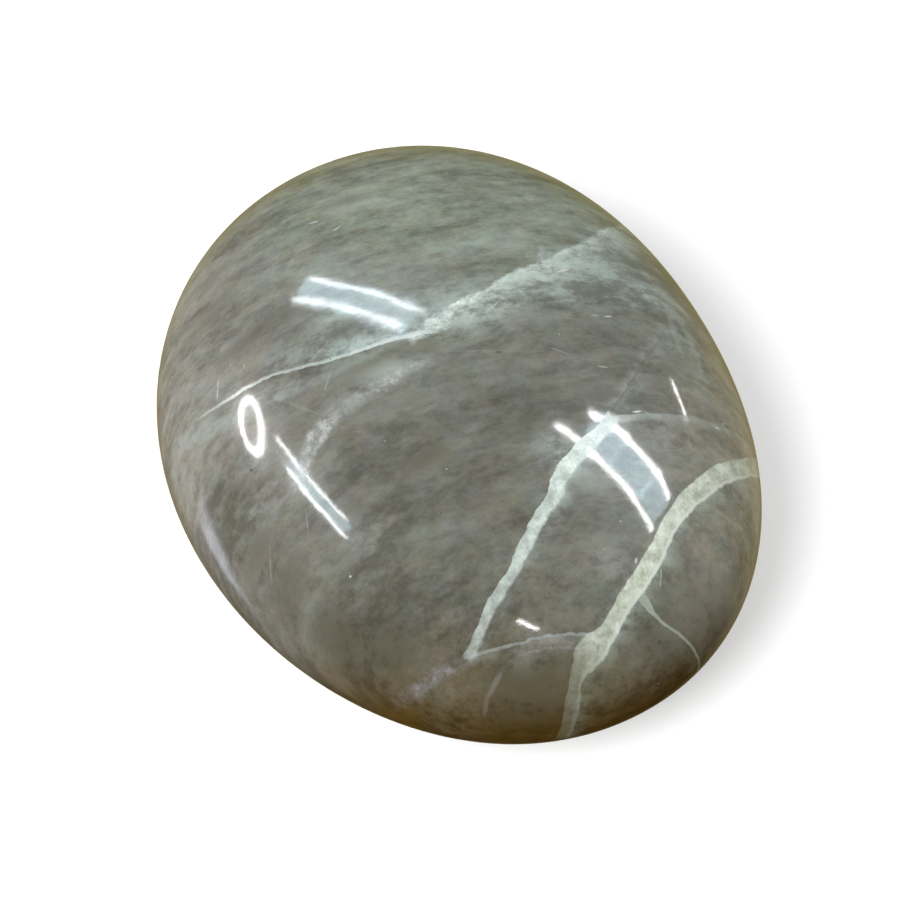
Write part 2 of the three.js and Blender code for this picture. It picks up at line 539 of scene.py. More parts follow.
# Hairlines, soft streaks and specks by their colour, in the order in which they are painted
STROKES = {
    MILK: (
        Stroke((-17.3, -7.4, 21.7), (-18.6, -5.8, 21.7), 0.35, 0.45),
        Stroke((-18.6, -6.2, 21.7), (-18.4, -4.0, 21.8), 0.3, 0.4),
        Stroke((-5.2, -9.4, 23.2), (-3.3, -11.3, 22.9), 0.1, 0.6),
        Stroke((-6.0, -14.9, 21.9), (-1.9, -12.3, 22.8), 0.22, 0.3),
        Stroke((2.7, -17.2, 21.1), (5.2, -21.2, 18.6), 0.15, 0.35),
        Stroke((5.0, -21.0, 18.8), (8.2, -22.6, 16.6), 0.12, 0.4),
        Stroke((4.5, -17.2, 21.0), (7.3, -18.3, 20.0), 0.1, 0.35),
        Stroke((-1.8, -0.5, 24.0), (1.6, 5.8, 23.8), 0.1, 0.4),
        Stroke((2.1, 8.0, 23.5), (3.8, 9.6, 23.2), 0.08, 0.5),
        Stroke((1.0, 0.4, 24.0), (2.2, 2.5, 24.0), 0.07, 0.4),
        Stroke((5.6, 11.1, 22.8), (6.0, 11.8, 22.6), 0.13, 0.8),
        Stroke((13.7, 15.4, 20.2), (15.6, 14.7, 20.0), 0.15, 0.3),
        Stroke((24.5, -9.0, 17.6), (25.6, -11.4, 15.2), 0.35, 0.25),
        Stroke((25.4, -11.1, 15.5), (26.2, -11.9, 13.7), 0.3, 0.2),
        speck((-11.4, -16.3, 20.7), 0.18, 0.8),
        speck((-10.4, -15.4, 21.2), 0.15, 0.8),
    ),
    MINT: (
        Stroke((-23.6, -12.4, 17.7), (-22.6, -6.8, 20.1), 0.2, 0.6),
        Stroke((1.7, 20.7, 19.2), (7.1, 19.1, 19.6), 0.5, 0.4),
        Stroke((3.1, 21.5, 18.5), (8.4, 20.5, 18.6), 0.6, 0.35),
    ),
    WHITE: (
        Stroke((-21.0, -3.4, 21.1), (-20.7, -2.6, 21.3), 0.12, 0.6),
        Stroke((-18.7, -2.1, 21.9), (-18.9, -1.3, 21.9), 0.12, 0.6),
        Stroke((-11.0, -17.7, 20.1), (-9.1, -18.8, 19.9), 0.1, 0.65),
        Stroke((-3.9, 6.4, 23.7), (-3.6, 5.5, 23.8), 0.12, 0.7),
        Stroke((-5.9, 12.4, 22.6), (-5.4, 12.6, 22.6), 0.15, 0.9),
        Stroke((-4.8, 13.0, 22.5), (-4.7, 14.1, 22.2), 0.14, 0.8),
        Stroke((0.6, 13.4, 22.5), (0.9, 14.0, 22.3), 0.1, 0.6),
        Stroke((1.1, 14.4, 22.2), (1.3, 15.1, 21.9), 0.12, 0.7),
        Stroke((10.7, 11.6, 22.1), (10.9, 12.4, 21.9), 0.14, 0.9),
        Stroke((10.9, 12.5, 21.8), (11.3, 12.9, 21.7), 0.1, 0.8),
        Stroke((13.8, 18.3, 18.6), (14.0, 18.7, 18.2), 0.12, 0.7),
        Stroke((13.6, 19.2, 18.0), (13.5, 19.8, 17.6), 0.1, 0.6),
        Stroke((24.5, 6.2, 18.8), (25.1, 6.0, 18.5), 0.1, 0.7),
        Stroke((29.4, 2.7, 15.1), (29.6, 3.3, 14.9), 0.12, 0.6),
        Stroke((26.0, 1.1, 18.3), (26.6, 0.8, 17.9), 0.25, 0.9),
        Stroke((23.0, 7.3, 19.5), (25.3, 5.7, 18.4), 0.1, 0.5),
        Stroke((22.3, 5.1, 20.1), (22.5, 4.9, 20.0), 0.2, 0.6),
        Stroke((22.6, -13.9, 16.4), (22.2, -13.2, 17.2), 0.07, 0.5),
        speck((-20.3, -17.5, 16.5), 0.16, 0.8),
        speck((11.8, -16.8, 19.8), 0.13, 0.8),
        Stroke((15.3, 20.6, 15.7), (15.5, 21.0, 15.5), 0.14, 0.8),
    ),
    UMBER: (
        Stroke((0.0, -20.8, 19.4), (1.0, -23.7, 16.8), 0.12, 0.5),
        Stroke((7.5, -18.3, 20.0), (8.1, -16.5, 20.8), 0.1, 0.4),
        Stroke((1.4, 6.9, 23.7), (0.7, 8.7, 23.5), 0.14, 0.5),
        Stroke((-0.1, 11.7, 22.9), (0.1, 12.9, 22.6), 0.15, 0.5),
    ),
    ICE: (
        Stroke((-1.1, 21.5, 18.7), (2.7, 22.9, 17.2), 0.7, 0.45),
    ),
    LILAC: (
        Stroke((21.4, -14.8, 16.5), (22.4, -14.2, 16.2), 0.07, 0.5),
        Stroke((22.9, -13.0, 16.7), (23.1, -12.2, 17.0), 0.07, 0.5),
    ),
    BLACK: (
        speck((-1.3, -19.5, 20.2), 0.17, 1.0),
        speck((3.2, -12.2, 22.7), 0.15, 0.9),
        Stroke((28.4, 4.1, 16.1), (28.5, 3.9, 16.1), 0.18, 0.9),
        Stroke((0.6, 3.7, 23.9), (0.8, 4.1, 23.9), 0.13, 0.7),
        speck((17.3, -4.8, 21.8), 0.12, 0.7),
    ),
}


# Nodes of a material

# The places of a Mix node's colour sockets, which share their names with others
MIX_FACTOR = 0
MIX_FIRST = 6
MIX_SECOND = 7
MIX_RESULT = 2


class Value:
    """One output of a material's nodes. Python's operators turn it into Math nodes."""

    def __init__(self, nodes, socket):
        self.nodes = nodes
        self.socket = socket

    def __add__(self, other):
        return self.nodes.math("ADD", self, other)

    def __sub__(self, other):
        return self.nodes.math("SUBTRACT", self, other)

    def __mul__(self, other):
        return self.nodes.math("MULTIPLY", self, other)

    def __truediv__(self, other):
        return self.nodes.math("DIVIDE", self, other)

    def __rsub__(self, other):
        return self.nodes.math("SUBTRACT", other, self)

    def __rtruediv__(self, other):
        return self.nodes.math("DIVIDE", other, self)

    def __abs__(self):
        return self.nodes.math("ABSOLUTE", self)

    def beside(self, output):
        """Another output of the same node."""
        return Value(self.nodes, self.socket.node.outputs[output])

    __radd__ = __add__
    __rmul__ = __mul__


class Nodes:
    """The node tree of one material or world, and the calls that add to it."""

    def __init__(self, owner):
        owner.use_nodes = True
        self.tree = owner.node_tree
        self.tree.nodes.clear()

    def add(self, kind, settings=None, inputs=None, output=0):
        """Adds a node, sets it up, fills its sockets with values or links, and gives one output."""
        node = self.tree.nodes.new(kind)
        for name, value in (settings or {}).items():
            if name == "points":
                set_curve(node.mapping, value)
            else:
                setattr(node, name, value)
        for key, value in (inputs or {}).items():
            if isinstance(value, Value):
                self.tree.links.new(value.socket, node.inputs[key])
            else:
                node.inputs[key].default_value = value
        return Value(self, node.outputs[output]) if node.outputs else None

    def math(self, operation, *values):
        """The result of a Math node."""
        return self.add("ShaderNodeMath", {"operation": operation}, dict(enumerate(values)))

    def vector(self, operation, *values):
        """The result of a Vector Math node."""
        return self.add("ShaderNodeVectorMath", {"operation": operation}, dict(enumerate(values)))

    def dot(self, point, direction):
        """How far a point is along a direction."""
        settings = {"operation": "DOT_PRODUCT"}
        return self.add("ShaderNodeVectorMath", settings, {0: point, 1: direction}, "Value")

    def scaled(self, point, factor):
        """A vector times a number."""
        return self.add("ShaderNodeVectorMath", {"operation": "SCALE"}, {0: point, "Scale": factor})

    def ramp(self, value, low, high, top=1.0):
        """A smooth step from 0 at low to the top at high. It falls where low is above high."""
        first, last = (top, 0.0) if low > high else (0.0, top)
        settings = {"interpolation_type": "SMOOTHSTEP", "clamp": False}
        span = {"From Min": min(low, high), "From Max": max(low, high), "To Min": first, "To Max": last}
        return self.add("ShaderNodeMapRange", settings, {"Value": value, **span})

    def blob(self, point, centre, turn, reach, core, top):
        """The top inside a turned oval ball, up to a share of its reach, and 0 outside the ball."""
        inputs = {"Vector": self.place(point, centre, turn, reach)}
        depth = self.add("ShaderNodeTexGradient", {"gradient_type": "SPHERICAL"}, inputs, "Fac")
        return self.ramp(depth, 0.0, 1.0 - core, top)

    def highest(self, values):
        """The highest of several values."""
        best = values[0]
        for value in values[1:]:
            best = self.math("MAXIMUM", best, value)
        return best

    def mix(self, factor, first, second, blend="MIX"):
        """Two colours mixed, each a colour of four numbers or a link."""
        settings = {"data_type": "RGBA", "blend_type": blend, "clamp_factor": True}
        inputs = {MIX_FACTOR: factor, MIX_FIRST: first, MIX_SECOND: second}
        return self.add("ShaderNodeMix", settings, inputs, MIX_RESULT)

    def place(self, point, centre, turn, reach):
        """The point as a pattern sees it that is moved to a centre, turned and stretched."""
        inputs = {"Vector": point, "Location": centre, "Rotation": turn, "Scale": reach}
        return self.add("ShaderNodeMapping", {"vector_type": "TEXTURE"}, inputs)

    def noise(self, point, noise, centre=None, turn=(0, 0, 0)):
        """Noise round 0.5. Where no centre is given, its seed moves it along X."""
        place = self.place(point, centre or (noise.seed, 0, 0), turn, noise.lengths)
        inputs = {"Vector": place, "Scale": 1.0, "Detail": noise.detail, "Roughness": noise.roughness}
        return self.add("ShaderNodeTexNoise", None, inputs)

    def curve(self, value, pairs):
        """A smooth curve through pairs of a place and a height, level beyond them."""
        places, heights = zip(*pairs)
        start, length = places[0], places[-1] - places[0]
        low, rise = min(heights), max(heights) - min(heights)
        points = [((place - start) / length, (height - low) / rise) for place, height in pairs]
        share = (value - start) / length
        return self.add("ShaderNodeFloatCurve", {"points": points}, {"Value": share}) * rise + low


def set_curve(mapping, points):
    """Gives a curve its points, smooth between them and level beyond them."""
    curve = mapping.curves[0]
    for point in points[1:-1]:
        curve.points.new(*point)
    for point, place in zip(curve.points, points):
        point.location = place
        point.handle_type = "AUTO_CLAMPED"
    mapping.extend = "HORIZONTAL"
    mapping.update()


def rgb(red, green, blue):
    """A colour as a socket takes it."""
    return (red, green, blue, 1.0)


# The stone's material

def silk_turn():
    """The turn from the stone's axes to the silk's."""
    return Matrix(silk_axes()).transposed().to_euler()


def silk_noise(nodes, point, noise):
    """Noise drawn out along the silk, round 0."""
    return nodes.noise(point, noise, (noise.seed, noise.seed, 0), silk_turn()) - 0.5


def drifted(nodes, point):
    """The point moved a little by slow noise, so that straight layers wave."""
    centres = [(DRIFT.seed + DRIFT_STEP * axis, 0, 0) for axis in range(3)]
    pushes = [nodes.noise(point, DRIFT, centre) - 0.5 for centre in centres]
    push = nodes.add("ShaderNodeCombineXYZ", None, dict(enumerate(pushes)))
    return nodes.vector("ADD", point, nodes.scaled(push, DRIFT_REACH))


def silk_tone(nodes, point, waved):
    """The silk's light and dark, round 0.5: streaks, and more mottle where they are cut across."""
    end_on = nodes.ramp(nodes.dot(point, silk_axes()[2]), *SILK_END)
    streaks = silk_noise(nodes, waved, STREAKS) * (STREAK_STRENGTH - STREAK_LOSS * end_on)
    mottle = silk_noise(nodes, point, MOTTLE) * (MOTTLE_STRENGTH + MOTTLE_GAIN * end_on)
    return 0.5 + streaks + mottle


def body_colour(nodes, point, waved, silk, middle):
    """The stone's colour: greener far from the camera, milky at the left, and darker and browner near,
    which is painted shade and painted reflection of a brown table.
    """
    right, forward, _ = view_axes()
    places = {"away": nodes.dot(point, forward), "aside": nodes.dot(point, right)}
    height = nodes.dot(point, (0, 0, 1))
    colour = rgb(*middle)
    for region in REGIONS:
        share = nodes.ramp(places[region.axis], *region.span)
        colour = nodes.mix(share, colour, rgb(*region.colour))
    # Painted shade and painted reflection of a brown table, low on the near side
    edge = nodes.ramp(height, *PAINTED_SHADE_AND_REFLECTION_HEIGHT) * nodes.ramp(places["away"], *PAINTED_SHADE_AND_REFLECTION_AWAY)
    edge = edge * nodes.ramp(places["aside"], *PAINTED_SHADE_AND_REFLECTION_ASIDE)
    colour = nodes.mix(edge, colour, rgb(*PAINTED_SHADE_AND_REFLECTION_COLOUR))
    warm = nodes.noise(waved, WARMTH)
    blue = nodes.noise(waved, BLUENESS)
    for share, (low, high) in ((warm, WARM_TINTS), (blue, BLUE_TINTS), (silk, SILK_TINTS)):
        colour = nodes.mix(1.0, colour, nodes.mix(share, rgb(*low), rgb(*high)), "MULTIPLY")
    return colour


def paint_patches(nodes, waved, colour, broken):
    """The colour with the soft patches painted over it."""
    for patch in PATCHES:
        share = nodes.blob(waved, patch.centre, silk_turn(), patch.reach, 0.0, patch.strength) * broken
        colour = nodes.mix(share, colour, rgb(*patch.colour))
    return colour


def sheet_places(nodes, point, sheet, wander):
    """How far along a sheet a point is, and how far off its course."""
    along, across = sheet.axes()
    start = Vector(sheet.start)
    t = nodes.dot(point, along) - start.dot(along)
    s = nodes.dot(point, across) - start.dot(across) - nodes.curve(t, sheet.course)
    return t, s + wander * sheet.wobble


def band_mask(nodes, t, s, band):
    """The strength of a band at a place beside its vein."""
    side = math.copysign(1, band.end - band.start)
    out = s * side
    fall = nodes.ramp(out, band.end * side, band.start * side)
    rise = nodes.ramp(out, band.start * side - band.edge, band.start * side)
    return fall * rise * nodes.curve(t, band.along)


def paint_sheet(nodes, point, sheet, colour, broken, wander, grain):
    """The colour with a vein and its bands painted over it, and how much of it is the vein's."""
    t, s = sheet_places(nodes, point, sheet, wander)
    speckle = nodes.ramp(grain, *SPECKLE_SPAN)
    for band in sheet.bands:
        share = band_mask(nodes, t, s, band) * broken * (BAND_LEAST + BAND_GAIN * speckle)
        colour = nodes.mix(share, colour, rgb(*band.colour))
    half = nodes.curve(t, sheet.half_width)
    core = nodes.ramp(s + half, -sheet.edges[0], 0) * nodes.ramp(s - half, sheet.edges[1], 0)
    core = core * nodes.curve(t, sheet.along)
    if sheet.silken:
        core = core * broken * (SILKEN_LEAST + SILKEN_GAIN * speckle)
    body = nodes.mix(speckle, rgb(*sheet.dark), rgb(*sheet.pale))
    if sheet.line is not None:
        line = nodes.ramp(abs(s - half * sheet.line), LINE_REACH, LINE_CORE)
        body = nodes.mix(line * LINE_STRENGTH, body, rgb(*WHITE))
    return nodes.mix(core, colour, body), core


def stroke_mask(nodes, point, stroke):
    """How much of a stroke's colour a point has."""
    first, last = Vector(stroke.first), Vector(stroke.last)
    run = last - first
    turn = run.to_track_quat("X", "Z").to_euler()
    reach = (run.length * HAIRLINE_STRETCH + stroke.radius, stroke.radius, stroke.radius)
    return nodes.blob(point, (first + last) / 2, turn, reach, HAIRLINE_CORE, stroke.strength)


def paint_strokes(nodes, point, colour, grain):
    """The colour with the hairlines, streaks and specks painted over it, one colour after another."""
    crystals = nodes.ramp(grain, *HAIRLINE_SPAN)
    for paint, strokes in STROKES.items():
        masks = [stroke_mask(nodes, point, stroke) for stroke in strokes]
        colour = nodes.mix(nodes.highest(masks) * crystals, colour, rgb(*paint))
    return colour


def paint_flecks(nodes, point, kind, colour):
    """The colour with one kind of fleck painted over it."""
    place = nodes.place(point, (kind.seed, 0, 0), silk_turn(), kind.lengths)
    distance = nodes.add("ShaderNodeTexVoronoi", None, {"Vector": place, "Scale": 1.0}, "Distance")
    draw = nodes.add("ShaderNodeSeparateColor", None, {"Color": distance.beside("Color")}, "Red")
    chosen = nodes.ramp(draw, kind.share + FLECK_DRAW_STEP, kind.share)
    crystal = nodes.ramp(distance, kind.radius, kind.radius * FLECK_CORE)
    return nodes.mix(crystal * chosen * kind.strength, colour, rgb(*kind.colour))


def garnierite_material(settings):
    """The stone's colour, with painted shade and painted table reflection on its near side, its polish
    and fine grain.
    """
    material = bpy.data.materials.new("polished garnierite")
    nodes = Nodes(material)
    coords = nodes.add("ShaderNodeTexCoord", output="Object")
    point = nodes.scaled(coords, 1 / MM)
    waved = drifted(nodes, point)
    silk = silk_tone(nodes, point, waved)
    wander = nodes.noise(point, WANDER) * 2.0 - 1.0
    grain = nodes.noise(point, CRYSTALS)
    broken = BREAK_LEAST + (1 - BREAK_LEAST) * nodes.ramp(silk, *BREAK_SPAN)

    colour = body_colour(nodes, point, waved, silk, settings.colour)
    colour = paint_patches(nodes, waved, colour, broken)
    cores = []
    for sheet in SHEETS:
        colour, core = paint_sheet(nodes, point, sheet, colour, broken, wander, grain)
        cores.append(core)
    for kind in FLECKS:
        colour = paint_flecks(nodes, point, kind, colour)
    colour = paint_strokes(nodes, point, colour, grain)

    height = nodes.noise(point, ORANGE_PEEL) * ORANGE_PEEL_HEIGHT
    bump = {"Strength": 1.0, "Distance": MM, "Height": height}
    normal = nodes.add("ShaderNodeBump", None, bump, "Normal")

    shader = nodes.add("ShaderNodeBsdfPrincipled", None, {
        "Base Color": colour,
        "Roughness": settings.polish + nodes.highest(cores) * VEIN_BLUR,
        "IOR": STONE_IOR,
        "Normal": normal,
        "Coat Weight": settings.haze,
        "Coat Roughness": HAZE_BLUR,
        "Coat IOR": STONE_IOR,
    })
    nodes.add("ShaderNodeOutputMaterial", None, {"Surface": shader})
    return material


# The stone's mesh

def select_only(thing):
    """Makes one object the only selected one, and the active one."""
    bpy.ops.object.select_all(action="DESELECT")
    thing.select_set(True)
    bpy.context.view_layer.objects.active = thing


def apply_modifier(thing, kind, **settings):
    """Adds a modifier, sets it and applies it."""
    select_only(thing)
    bpy.ops.object.modifier_add(type=kind)
    modifier = thing.modifiers[-1]
    for name, value in settings.items():
        setattr(modifier, name, value)
    bpy.ops.object.modifier_apply(modifier=modifier.name)


def smooth_form():
    """A merged and smoothed copy of the frame's solid, for the fine mesh to lie on."""
    form = bpy.data.objects.new("form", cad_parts[NODE].data.copy())
    bpy.context.scene.collection.objects.link(form)
    select_only(form)
    bpy.ops.object.mode_set(mode="EDIT")
    bpy.ops.mesh.select_all(action="SELECT")
    bpy.ops.mesh.remove_doubles(threshold=MERGE_DISTANCE)
    bpy.ops.mesh.tris_convert_to_quads()
    bpy.ops.object.mode_set(mode="OBJECT")
    apply_modifier(form, "SUBSURF", levels=FORM_LEVELS, render_levels=FORM_LEVELS)
    return form


def fine_sphere(low, high):
    """A ball of even squares, stretched to fill a box."""
    bpy.ops.object.select_all(action="DESELECT")
    bpy.ops.mesh.primitive_cube_add(size=2)
    ball = bpy.context.object
    bpy.ops.object.mode_set(mode="EDIT")
    bpy.ops.mesh.select_all(action="SELECT")
    for _ in range(SPHERE_STEPS):
        bpy.ops.mesh.subdivide(number_cuts=1)
        bpy.ops.transform.tosphere(value=1.0)
    bpy.ops.object.mode_set(mode="OBJECT")
    radius = max(v.co.length for v in ball.data.vertices)
    bpy.ops.object.mode_set(mode="EDIT")
    bpy.ops.transform.resize(value=tuple((high - low) / 2 / radius))
    bpy.ops.transform.translate(value=tuple((high + low) / 2))
    bpy.ops.object.mode_set(mode="OBJECT")
    return ball


def wear_veins(stone, depth):
    """Sinks the veins a hair below the polish, because they are softer than the stone round them."""
    group = stone.vertex_groups.new(name="veins")
    points = np.array([vertex.co for vertex in stone.data.vertices]) / MM
    worn = np.max([sheet.wear(points) for sheet in WORN_SHEETS], axis=0)
    for place in np.flatnonzero(worn > 0):
        group.add([int(place)], float(worn[place]), "REPLACE")
    apply_modifier(stone, "DISPLACE", vertex_group=group.name, mid_level=0.0, strength=-depth)
    stone.vertex_groups.clear()


def ripple_surface(stone, height):
    """Gives the polish the faint waves that a tumbled stone has."""
    waves = bpy.data.textures.new("polish waves", "CLOUDS")
    waves.noise_scale = RIPPLE_SIZE
    apply_modifier(
        stone, "DISPLACE", texture=waves, texture_coords="LOCAL", mid_level=0.5, strength=height,
    )


def build_pebble(settings):
    """The fine stone, laid on the frame's form, with its material."""
    low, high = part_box(NODE)
    form = smooth_form()
    stone = fine_sphere(low, high)
    stone.name = stone.data.name = "polished_pebble"
    apply_modifier(stone, "SHRINKWRAP", target=form, wrap_method="NEAREST_SURFACEPOINT")
    bpy.data.objects.remove(form)
    apply_modifier(stone, "SMOOTH", factor=SMOOTH_FACTOR, iterations=SMOOTH_ROUNDS)
    ripple_surface(stone, settings.ripple_height)
    wear_veins(stone, settings.vein_depth)
    bpy.ops.object.shade_smooth()
    stone.data.materials.append(garnierite_material(settings))
    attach(stone, BODY)
    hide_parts(NODE)
    return stone


# The stage

@dataclass
class Lamp:
    """A flat lamp over the table, in straight stretches from place to place as seen from above, in
    millimetres to the camera's right and forward. power is its share of the lamps' brightness."""
    name: str
    course: tuple
    width: float
    power: float
    colour: tuple = (1.0, 1.0, 1.0)


LAMP_HEIGHT = 400
PALE_BLUE = (0.60, 0.86, 1.0)
LAMPS = (
    Lamp("left tube far", ((-197, 425), (-38, 308)), 4, 1.0),
    Lamp("left tube near", ((-230, 384), (-62, 285)), 4, 1.0),
    Lamp("left panel", ((-214, 404), (-50, 296)), 52, 0.19, PALE_BLUE),
    Lamp("right tube near", ((112, 166), (190, 125), (275, 75), (348, 18)), 11, 0.85),
    Lamp("right tube far", ((178, 208), (268, 193), (373, 156), (430, 112)), 13, 0.85),
    Lamp("right panel", ((176, 178), (235, 156), (325, 114), (390, 66)), 80, 0.17, PALE_BLUE),
    Lamp("side tube near", ((-298, 97), (-199, -32)), 5, 1.0),
    Lamp("side tube far", ((-299, 46), (-219, -74)), 6, 1.0),
    Lamp("side panel", ((-290, 60), (-208, -56)), 32, 0.18, PALE_BLUE),
    Lamp("far spot", ((692, 611), (717, 494)), 12, 1.0),
    Lamp("near spot", ((55, -240), (98, -274)), 10, 1.0),
)
RING_PLACE = (-409, 150)
RING_REACH = (52, 62)
RING_THICKNESS = 15

# Where the key light comes from, and the floor: its size, and how far it is below the stone
KEY_PLACE = (-600, -540, 1000)
FLOOR_RADIUS = 3.0
FLOOR_DROP = 0.01 * MM
FLOOR_SIDES = 96

# The room that the polish mirrors. Each span says where a ray's way forward, to the right or up
# goes over from one of its colours to the next.
TABLE_NEAR = (0.04, 0.02, 0.004)
TABLE_FAR = (0.32, 0.27, 0.10)
TABLE_FAR_SPAN = (-0.15, 0.7)
TABLE_LEFT = (0.50, 0.46, 0.40)
TABLE_LEFT_SPAN = (-0.3, -0.9)
TABLE_RIGHT = (0.75, 0.66, 0.42)
TABLE_RIGHT_SPAN = (0.3, 0.8)
TABLE_RIGHT_FORWARD = (-0.1, 0.6)
WALL_FAR = (0.50, 0.52, 0.50)
WALL_NEAR = (0.22, 0.20, 0.17)
WALL_NEAR_SPAN = (0.1, -0.75)
HORIZON_SPAN = (-0.35, 0.25)

# A bright strip low on the left. A ray meets its middle where it rises by so much of its way
# forward, less a drop. It fades out to its sides, towards the right, and at its far and near ends.
STRIP_COLOUR = (3.3, 3.4, 4.0)
STRIP_SLOPE = 1.14
STRIP_DROP = 0.235
STRIP_SIDES = (0.32, 0.08)
STRIP_RIGHT = (-0.7, -0.85)
STRIP_FAR_END = (0.06, -0.05)
STRIP_NEAR_END = (-0.26, -0.12)

# The even light on the stone: from below, from above, and the heights between which it changes
LIGHT_BELOW = (0.30, 0.18, 0.05)
LIGHT_ABOVE = (0.60, 0.61, 0.61)
LIGHT_SPAN = (-0.6, 0.3)


def stage_place(sideways, forwards, height):
    """A place in metres, from millimetres to the camera's right, forward and up."""
    right, forward, _ = view_axes()
    return (right * sideways + forward * forwards + Vector((0, 0, height))) * MM


def add_lamps(settings):
    """The lamps whose reflections lie on the polish."""
    for lamp in LAMPS:
        for number, (first, last) in enumerate(zip(lamp.course, lamp.course[1:])):
            add_stretch(settings, lamp, f"{lamp.name} {number}", first, last)


def add_stretch(settings, lamp, name, first, last):
    """One straight stretch of a lamp, turned to the stone. It lights nothing but the polish."""
    first = stage_place(*first, LAMP_HEIGHT)
    last = stage_place(*last, LAMP_HEIGHT)
    centre = (first + last) / 2
    away = (centre - Vector((0, 0, CAMERA_TARGET_HEIGHT))).normalized()
    run = last - first
    side = (run - away * run.dot(away)).normalized()
    bpy.ops.object.light_add(type="AREA")
    thing = bpy.context.object
    thing.name = name
    thing.matrix_world = placed(centre, (side, away.cross(side), away))
    data = thing.data
    data.shape = "RECTANGLE"
    data.size = run.length
    data.size_y = lamp.width * MM
    data.color = lamp.colour
    data.energy = settings.lamp_brightness * lamp.power * data.size * data.size_y * math.pi
    data.use_shadow = False
    thing.visible_diffuse = False
    thing.visible_camera = False


def add_ring(settings):
    """A ring lamp, whose reflection is the small bright loop."""
    bpy.ops.object.select_all(action="DESELECT")
    bpy.ops.mesh.primitive_torus_add(
        major_radius=RING_REACH[0] * MM, minor_radius=RING_THICKNESS / 2 * MM,
        location=stage_place(*RING_PLACE, LAMP_HEIGHT), rotation=(0, 0, CAMERA_AZIMUTH),
    )
    ring = bpy.context.object
    ring.name = "ring lamp"
    ring.scale.y = RING_REACH[1] / RING_REACH[0]
    material = bpy.data.materials.new("lamp glow")
    nodes = Nodes(material)
    shine = {"Color": rgb(1, 1, 1), "Strength": settings.lamp_brightness}
    glow = nodes.add("ShaderNodeEmission", None, shine)
    nodes.add("ShaderNodeOutputMaterial", None, {"Surface": glow})
    ring.data.materials.append(material)
    ring.visible_camera = False
    ring.visible_diffuse = False
    ring.visible_shadow = False


def add_key(settings):
    """A broad soft light from the left, which gives the shadow."""
    bpy.ops.object.light_add(type="SUN")
    key = bpy.context.object
    key.name = "key light"
    key.data.energy = settings.key_strength
    key.data.angle = settings.key_softness
    direction = stage_place(*KEY_PLACE).normalized()
    key.rotation_euler = direction.to_track_quat("Z", "Y").to_euler()
    key.visible_glossy = False
    key.visible_camera = False


def mirrored_table(nodes, away, aside):
    """The table in the polish: pale far off and at both sides, brown close by."""
    colour = nodes.mix(nodes.ramp(away, *TABLE_FAR_SPAN), rgb(*TABLE_NEAR), rgb(*TABLE_FAR))
    colour = nodes.mix(nodes.ramp(aside, *TABLE_LEFT_SPAN), colour, rgb(*TABLE_LEFT))
    right = nodes.ramp(aside, *TABLE_RIGHT_SPAN) * nodes.ramp(away, *TABLE_RIGHT_FORWARD)
    return nodes.mix(right, colour, rgb(*TABLE_RIGHT))


def strip_mask(nodes, away, aside, height):
    """How much of the bright strip a ray meets."""
    off = abs(height - away * STRIP_SLOPE + STRIP_DROP)
    ends = nodes.ramp(away, *STRIP_FAR_END) * nodes.ramp(away, *STRIP_NEAR_END)
    return nodes.ramp(off, *STRIP_SIDES) * nodes.ramp(aside, *STRIP_RIGHT) * ends


def add_world():
    """White to the camera, an even pale room to light the stone, and for its reflections a grey
    wall over a table, with a bright strip on the left."""
    world = bpy.data.worlds.new("room")
    bpy.context.scene.world = world
    nodes = Nodes(world)
    right, forward, _ = view_axes()
    way = nodes.add("ShaderNodeTexCoord", output="Generated")
    height = nodes.dot(way, (0, 0, 1))
    away = nodes.dot(way, forward)
    aside = nodes.dot(way, right)

    table = mirrored_table(nodes, away, aside)
    wall = nodes.mix(nodes.ramp(away, *WALL_NEAR_SPAN), rgb(*WALL_FAR), rgb(*WALL_NEAR))
    mirrored = nodes.mix(nodes.ramp(height, *HORIZON_SPAN), table, wall)
    mirrored = nodes.mix(strip_mask(nodes, away, aside, height), mirrored, rgb(*STRIP_COLOUR))

    light = nodes.mix(nodes.ramp(height, *LIGHT_SPAN), rgb(*LIGHT_BELOW), rgb(*LIGHT_ABOVE))
    glossy = nodes.add("ShaderNodeLightPath", output="Is Glossy Ray")
    seen = nodes.add("ShaderNodeLightPath", output="Is Camera Ray")
    shown = nodes.mix(seen, nodes.mix(glossy, light, mirrored), rgb(1, 1, 1))
    background = nodes.add("ShaderNodeBackground", None, {"Color": shown, "Strength": 1.0})
    nodes.add("ShaderNodeOutputWorld", None, {"Surface": background})


def add_floor(settings):
    """The pale table top, lit a little from below so that only the soft shadow shows on it."""
    bpy.ops.object.select_all(action="DESELECT")
    bpy.ops.mesh.primitive_circle_add(
        vertices=FLOOR_SIDES, radius=FLOOR_RADIUS, fill_type="NGON", location=(0, 0, -FLOOR_DROP),
    )
    floor = bpy.context.object
    floor.name = "floor"
    material = bpy.data.materials.new("pale floor")
    nodes = Nodes(material)
    paint = nodes.add("ShaderNodeBsdfDiffuse", None, {"Color": rgb(*settings.floor_colour)})
    shine = {"Color": rgb(1, 1, 1), "Strength": settings.floor_glow}
    glow = nodes.add("ShaderNodeEmission", None, shine)
    both = nodes.add("ShaderNodeAddShader", None, {0: paint, 1: glow})
    nodes.add("ShaderNodeOutputMaterial", None, {"Surface": both})
    floor.data.materials.append(material)
    floor.visible_glossy = False
    floor.visible_diffuse = False


def add_camera():
    """The camera at the photograph's angle."""
    right, _, back = view_axes()
    up = back.cross(right)
    target = Vector((0, 0, CAMERA_TARGET_HEIGHT)) - right * CAMERA_LEFT - up * CAMERA_DOWN
    bpy.ops.object.camera_add()
    camera = bpy.context.object
    camera.data.sensor_width = CAMERA_SENSOR
    camera.data.lens = CAMERA_LENS
    camera.data.clip_start = CAMERA_DISTANCE / 100
    camera.data.clip_end = CAMERA_DISTANCE * 100
    camera.matrix_world = placed(target + back * CAMERA_DISTANCE, (right, up, back))
    bpy.context.scene.camera = camera


# The add-on

